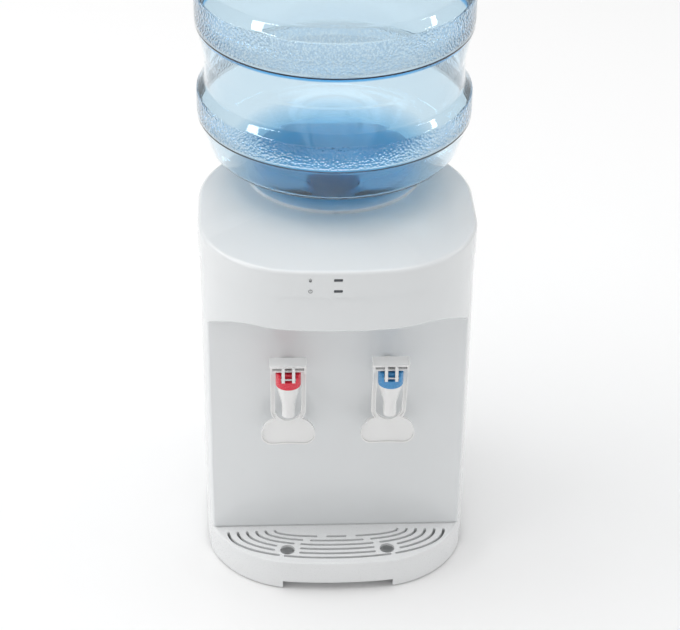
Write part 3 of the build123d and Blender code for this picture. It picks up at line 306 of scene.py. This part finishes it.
# ---- carried-over nodes: their finish, and smooth shading that keeps sharp edges ----
def smoothMoulding():
    tree = bpy.data.node_groups.new("smoothMoulding", "GeometryNodeTree")
    tree.interface.new_socket("Geometry", in_out="INPUT", socket_type="NodeSocketGeometry")
    weldInput = tree.interface.new_socket("Weld Distance", in_out="INPUT", socket_type="NodeSocketFloat")
    angleInput = tree.interface.new_socket("Sharp Angle", in_out="INPUT", socket_type="NodeSocketFloat")
    tree.interface.new_socket("Geometry", in_out="OUTPUT", socket_type="NodeSocketGeometry")
    weldInput.default_value = 0.000002
    angleInput.default_value = math.radians(24)
    start = tree.nodes.new("NodeGroupInput")
    end = tree.nodes.new("NodeGroupOutput")
    weld = tree.nodes.new("GeometryNodeMergeByDistance")
    angle = tree.nodes.new("GeometryNodeInputMeshEdgeAngle")
    sharp = addNode(tree, "FunctionNodeCompare", data_type="FLOAT", operation="GREATER_THAN")
    faces = addNode(tree, "GeometryNodeSetShadeSmooth", domain="FACE")
    edges = addNode(tree, "GeometryNodeSetShadeSmooth", domain="EDGE")
    edges.inputs["Shade Smooth"].default_value = False
    link = tree.links.new
    link(start.outputs["Geometry"], weld.inputs["Geometry"])
    link(start.outputs["Weld Distance"], weld.inputs["Distance"])
    link(angle.outputs["Unsigned Angle"], sharp.inputs[0])
    link(start.outputs["Sharp Angle"], sharp.inputs[1])
    link(weld.outputs["Geometry"], faces.inputs["Geometry"])
    link(faces.outputs["Geometry"], edges.inputs["Geometry"])
    link(sharp.outputs["Result"], edges.inputs["Selection"])
    link(edges.outputs["Geometry"], end.inputs["Geometry"])
    return tree


smoothTree = smoothMoulding()
slotOf = {part["node"]: part["material_slot"] for part in frame["record"]["subparts"]}
for name, obj in nodes.items():
    obj.data.materials.clear()
    obj.data.materials.append(finishes[slotOf[name]])
    modifier = obj.modifiers.new("smoothMoulding", "NODES")
    modifier.node_group = smoothTree
print("carried-over nodes finished")


# ---- bottle ----
bottleShape = {
    "axisY": bottleLook["axisY"],
    "wall": 0.0020,
    "segments": 224,
    "arcStep": math.radians(7),
    # open neck up to the closed base: radius, height, corner rounding
    "outline": [
        (0.0275, 0.3212, 0),
        (0.0275, 0.3713, 0.006),
        (0.1229, 0.4192, 0.009),
        (0.1340, 0.4524, 0.0010),
        (0.1351, 0.4545, 0.0012),
        (0.1351, 0.4800, 0.008),
        (0.1268, 0.4895, 0.007),
        (0.1268, 0.5170, 0.012),
        (0.1340, 0.5485, 0.0010),
        (0.1351, 0.5510, 0.0012),
        (0.1351, 0.5860, 0.010),
        (0.1268, 0.5970, 0.007),
        (0.1268, 0.6550, 0.012),
        (0.1351, 0.6800, 0.008),
        (0.1351, 0.7120, 0.010),
        (0.1268, 0.7230, 0.007),
        (0.1268, 0.7520, 0.012),
        (0.1351, 0.7780, 0.008),
        (0.1351, 0.8178, 0.022),
        (0.1000, 0.8178, 0.005),
        (0.0880, 0.8110, 0.010),
        (0.0, 0.8110, 0),
    ],
}


def roundedPath(points, arcStep):
    path = [Vector(points[0][:2])]
    for (r0, z0, _), (r1, z1, rounding), (r2, z2, _) in zip(points, points[1:], points[2:]):
        corner = Vector((r1, z1))
        before = (Vector((r0, z0)) - corner).normalized()
        after = (Vector((r2, z2)) - corner).normalized()
        turn = math.pi - before.angle(after)
        if rounding <= 0 or turn < 0.01:
            path.append(corner)
            continue
        reach = rounding * math.tan(turn / 2)
        centre = corner + (before + after).normalized() * (rounding / math.cos(turn / 2))
        start = corner + before * reach - centre
        steps = max(2, round(turn / arcStep))
        side = 1 if before.cross(after) < 0 else -1
        for step in range(steps + 1):
            angle = side * turn * step / steps
            path.append(centre + Vector((
                start.x * math.cos(angle) - start.y * math.sin(angle),
                start.x * math.sin(angle) + start.y * math.cos(angle),
            )))
    path.append(Vector(points[-1][:2]))
    return path


def insetPath(path, distance):
    moved = []
    for i, point in enumerate(path):
        ahead = path[min(i + 1, len(path) - 1)]
        behind = path[max(i - 1, 0)]
        along = (ahead - behind).normalized()
        moved.append(point + Vector((-along.y, along.x)) * distance)
    moved[0].y = path[0].y
    moved[-1].x = 0.0
    return moved


def spunShell(name, path, segments, axisY):
    mesh = bpy.data.meshes.new(name)
    bm = bmesh.new()
    rings = []
    for point in path:
        if point.x < 0.00001:
            rings.append([bm.verts.new((0, axisY, point.y))])
            continue
        ring = []
        for k in range(segments):
            angle = 2 * math.pi * k / segments
            ring.append(bm.verts.new((point.x * math.cos(angle), axisY + point.x * math.sin(angle), point.y)))
        rings.append(ring)
    for lower, upper in zip(rings, rings[1:]):
        for k in range(segments):
            after = k + 1
            quad = [
                lower[k % len(lower)],
                lower[after % len(lower)],
                upper[after % len(upper)],
                upper[k % len(upper)],
            ]
            corners = list(dict.fromkeys(quad))
            if len(corners) > 2:
                bm.faces.new(corners)
    bmesh.ops.recalc_face_normals(bm, faces=bm.faces)
    for face in bm.faces:
        face.smooth = True
    bm.to_mesh(mesh)
    bm.free()
    obj = bpy.data.objects.new(name, mesh)
    bpy.context.scene.collection.objects.link(obj)
    return obj


def makeBottle(shape):
    outer = roundedPath(shape["outline"], shape["arcStep"])
    inner = insetPath(outer, shape["wall"])
    bottle = spunShell("bottleShell", outer[::-1] + inner, shape["segments"], shape["axisY"])
    bottle.data.materials.append(finishes["bottle_blue"])
    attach(bottle, "bottle")
    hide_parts("bottle")
    return bottle


makeBottle(bottleShape)
print("bottle spun")


# ---- louvre lips round the rear vents ----
ventLips = {
    "count": 17,
    "pitch": 0.009,
    "width": 0.054,
    "height": 0.004,
    "centreZ": 0.245,
    "lip": 0.0007,
    "proud": 0.0006,
}


def ventTree():
    tree = bpy.data.node_groups.new("ventLips", "GeometryNodeTree")
    sockets = {}
    kinds = {
        "Count": "NodeSocketInt",
        "Pitch": "NodeSocketFloat",
        "Width": "NodeSocketFloat",
        "Height": "NodeSocketFloat",
        "Lip": "NodeSocketFloat",
        "Material": "NodeSocketMaterial",
    }
    for label, kind in kinds.items():
        sockets[label] = tree.interface.new_socket(label, in_out="INPUT", socket_type=kind).identifier
    tree.interface.new_socket("Geometry", in_out="OUTPUT", socket_type="NodeSocketGeometry")
    start = tree.nodes.new("NodeGroupInput")
    end = tree.nodes.new("NodeGroupOutput")
    column = tree.nodes.new("GeometryNodeMeshLine")
    rise = tree.nodes.new("ShaderNodeCombineXYZ")
    slot = addNode(tree, "GeometryNodeCurvePrimitiveQuadrilateral", mode="RECTANGLE")
    half = addNode(tree, "ShaderNodeMath", operation="MULTIPLY")
    half.inputs[1].default_value = 0.5
    rounded = addNode(tree, "GeometryNodeFilletCurve", mode="POLY")
    rounded.inputs["Count"].default_value = 6
    bead = tree.nodes.new("GeometryNodeCurvePrimitiveCircle")
    bead.inputs["Resolution"].default_value = 8
    sweep = tree.nodes.new("GeometryNodeCurveToMesh")
    stand = tree.nodes.new("GeometryNodeTransform")
    stand.inputs["Rotation"].default_value = (math.radians(90), 0, 0)
    copies = tree.nodes.new("GeometryNodeInstanceOnPoints")
    real = tree.nodes.new("GeometryNodeRealizeInstances")
    smooth = tree.nodes.new("GeometryNodeSetShadeSmooth")
    finish = tree.nodes.new("GeometryNodeSetMaterial")
    link = tree.links.new
    link(start.outputs["Count"], column.inputs["Count"])
    link(start.outputs["Pitch"], rise.inputs["Z"])
    link(rise.outputs["Vector"], column.inputs["Offset"])
    link(start.outputs["Width"], slot.inputs["Width"])
    link(start.outputs["Height"], slot.inputs["Height"])
    link(start.outputs["Height"], half.inputs[0])
    link(slot.outputs["Curve"], rounded.inputs["Curve"])
    link(half.outputs["Value"], rounded.inputs["Radius"])
    link(start.outputs["Lip"], bead.inputs["Radius"])
    link(rounded.outputs["Curve"], sweep.inputs["Curve"])
    link(bead.outputs["Curve"], sweep.inputs["Profile Curve"])
    link(sweep.outputs["Mesh"], stand.inputs["Geometry"])
    link(column.outputs["Mesh"], copies.inputs["Points"])
    link(stand.outputs["Geometry"], copies.inputs["Instance"])
    link(copies.outputs["Instances"], real.inputs["Geometry"])
    link(real.outputs["Geometry"], smooth.inputs["Geometry"])
    link(smooth.outputs["Geometry"], finish.inputs["Geometry"])
    link(start.outputs["Material"], finish.inputs["Material"])
    link(finish.outputs["Geometry"], end.inputs["Geometry"])
    return tree, sockets


def makeVentLips(shape, body, slot):
    tree, sockets = ventTree()
    holder = bpy.data.objects.new("ventLipsMaker", bpy.data.meshes.new("ventLipsMaker"))
    bpy.context.scene.collection.objects.link(holder)
    modifier = holder.modifiers.new("ventLips", "NODES")
    modifier.node_group = tree
    modifier[sockets["Count"]] = shape["count"]
    modifier[sockets["Pitch"]] = shape["pitch"]
    modifier[sockets["Width"]] = shape["width"]
    modifier[sockets["Height"]] = shape["height"]
    modifier[sockets["Lip"]] = shape["lip"]
    modifier[sockets["Material"]] = finishes[slot]
    bpy.context.view_layer.update()
    mesh = bpy.data.meshes.new_from_object(holder.evaluated_get(bpy.context.evaluated_depsgraph_get()))
    bpy.data.objects.remove(holder)
    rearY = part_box("rear_cover")[1].y
    low = shape["centreZ"] - shape["pitch"] * (shape["count"] - 1) / 2
    for vertex in mesh.vertices:
        vertex.co += Vector((0, rearY + shape["proud"] - shape["lip"] / 2, low))
    lips = bpy.data.objects.new("ventLips", mesh)
    bpy.context.scene.collection.objects.link(lips)
    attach(lips, body)
    return lips


makeVentLips(ventLips, "case", "case_white")
print("vent lips made")


# ---- printed marks beside the indicator windows ----
marks = {"x": -0.0290, "size": 0.0040, "line": 0.00045, "proud": 0.0005, "inset": 0.0025}


def printedMark(name, outlines, centre, look, material):
    curve = bpy.data.curves.new(name, "CURVE")
    curve.dimensions = "3D"
    curve.bevel_depth = look["line"] / 2
    curve.bevel_resolution = 1
    for points, closed in outlines:
        spline = curve.splines.new("POLY")
        spline.points.add(len(points) - 1)
        for k, (x, z) in enumerate(points):
            spline.points[k].co = (x * look["size"] / 2, 0, z * look["size"] / 2, 1)
        spline.use_cyclic_u = closed
    source = bpy.data.objects.new(name + "Curve", curve)
    bpy.context.scene.collection.objects.link(source)
    bpy.context.view_layer.update()
    mesh = bpy.data.meshes.new_from_object(source.evaluated_get(bpy.context.evaluated_depsgraph_get()))
    bpy.data.objects.remove(source)
    for vertex in mesh.vertices:
        vertex.co.y *= 0.3
        vertex.co += Vector(centre)
    mesh.materials.clear()
    mesh.materials.append(material)
    mark = bpy.data.objects.new(name, mesh)
    bpy.context.scene.collection.objects.link(mark)
    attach(mark, "case")
    return mark


def ringPoints(radius, count, start=0.0, sweep=2 * math.pi, centreZ=0.0):
    return [
        (radius * math.cos(start + sweep * k / count), centreZ + radius * math.sin(start + sweep * k / count))
        for k in range(count + (0 if abs(sweep - 2 * math.pi) < 0.01 else 1))
    ]


printInk = mouldedPlastic("printGrey", (0.10, 0.10, 0.11), (0.08, 0.08, 0.09), 0.5)
ledLow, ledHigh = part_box("led_lenses")
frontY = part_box("top_cover")[0].y
flame = [
    (0.0, 1.0), (0.45, 0.35), (0.62, -0.2), (0.4, -0.75),
    (0.0, -0.95), (-0.4, -0.75), (-0.62, -0.2), (-0.25, 0.3),
]
flameHeart = ringPoints(0.3, 12, centreZ=-0.45)
openRing = ringPoints(0.85, 28, math.radians(110), math.radians(320))
ringStem = [(0, 1.0), (0, 0.2)]
markY = frontY + marks["proud"]
upperPlace = (marks["x"], markY, ledHigh.z - marks["inset"])
lowerPlace = (marks["x"], markY, ledLow.z + marks["inset"])
printedMark("heatMark", [(flame, True), (flameHeart, True)], upperPlace, marks, printInk)
printedMark("warmMark", [(openRing, False), (ringStem, False)], lowerPlace, marks, printInk)
print("marks printed")


# ---- floor, light and camera ----
studio = {
    "floorTone": 0.93,
    "floorSize": 14.0,
    "worldStrength": 0.56,
    "topPower": 78.0,
    "topPlace": (-0.4, 0.4, 4.0),
    "topSize": (3.6, 3.6),
    "keyPower": 24.0,
    "keyPlace": (-2.4, -0.1, 2.2),
    "keySize": (3.6, 0.22),
    "fillPower": 6.0,
    "fillPlace": (2.3, 0.1, 1.7),
    "fillSize": (1.5, 0.08),
}
view = {
    "place": (-0.0752, -1.7277, 1.3628),
    "elevation": 33.25,
    "azimuth": -2.71,
    "roll": 0.68,
    "lens": 105.88,
}


def makeFloor(look):
    mat, tree, bsdf = newMaterial("studioPaper")
    noise = noiseOn(tree, 2.0, 2.0)
    tone = look["floorTone"]
    paper = blendOf(tree, noise.outputs["Fac"], (tone * 0.995,) * 3, (tone,) * 3)
    tree.links.new(paper, bsdf.inputs["Base Color"])
    bsdf.inputs["Roughness"].default_value = 0.9
    bsdf.inputs["Specular IOR Level"].default_value = 0.15
    half = look["floorSize"] / 2
    mesh = bpy.data.meshes.new("studioFloor")
    corners = [(-half, -half, 0), (half, -half, 0), (half, half, 0), (-half, half, 0)]
    mesh.from_pydata(corners, [], [(0, 1, 2, 3)])
    mesh.materials.append(mat)
    floor = bpy.data.objects.new("studioFloor", mesh)
    bpy.context.scene.collection.objects.link(floor)


def makeLight(name, place, target, size, power, colour=(1, 1, 1)):
    lamp = bpy.data.lights.new(name, "AREA")
    lamp.shape = "RECTANGLE"
    lamp.size, lamp.size_y = size
    lamp.energy = power
    lamp.color = colour
    obj = bpy.data.objects.new(name, lamp)
    obj.location = place
    obj.rotation_euler = (Vector(target) - Vector(place)).to_track_quat("-Z", "Y").to_euler()
    bpy.context.scene.collection.objects.link(obj)
    return obj


def makeWorld(strength):
    world = bpy.data.worlds.new("studioWorld")
    world.use_nodes = True
    background = world.node_tree.nodes["Background"]
    background.inputs["Color"].default_value = (1, 1, 1, 1)
    background.inputs["Strength"].default_value = strength
    bpy.context.scene.world = world


def makeCamera(look):
    elevation = math.radians(look["elevation"])
    azimuth = math.radians(look["azimuth"])
    roll = math.radians(look["roll"])
    back = Vector((
        math.sin(azimuth) * math.cos(elevation),
        -math.cos(azimuth) * math.cos(elevation),
        math.sin(elevation),
    ))
    right = Vector((math.cos(azimuth), math.sin(azimuth), 0))
    up = back.cross(right)
    turnedRight = right * math.cos(roll) + up * math.sin(roll)
    turnedUp = up * math.cos(roll) - right * math.sin(roll)
    lens = bpy.data.cameras.new("studioCamera")
    lens.lens = look["lens"]
    lens.sensor_width = 36
    lens.sensor_fit = "HORIZONTAL"
    lens.clip_end = 50
    camera = bpy.data.objects.new("studioCamera", lens)
    bpy.context.scene.collection.objects.link(camera)
    x, y, z = turnedRight, turnedUp, back
    px, py, pz = look["place"]
    camera.matrix_world = Matrix((
        (x.x, y.x, z.x, px),
        (x.y, y.y, z.y, py),
        (x.z, y.z, z.z, pz),
        (0, 0, 0, 1),
    ))
    bpy.context.scene.camera = camera


makeFloor(studio)
makeWorld(studio["worldStrength"])
middle = (0, 0, 0.3)
makeLight("keyLight", studio["keyPlace"], middle, studio["keySize"], studio["keyPower"])
makeLight("fillLight", studio["fillPlace"], middle, studio["fillSize"], studio["fillPower"])
makeLight("topLight", studio["topPlace"], middle, studio["topSize"], studio["topPower"])
makeCamera(view)
bpy.context.scene.view_settings.view_transform = "Standard"
print("studio ready")
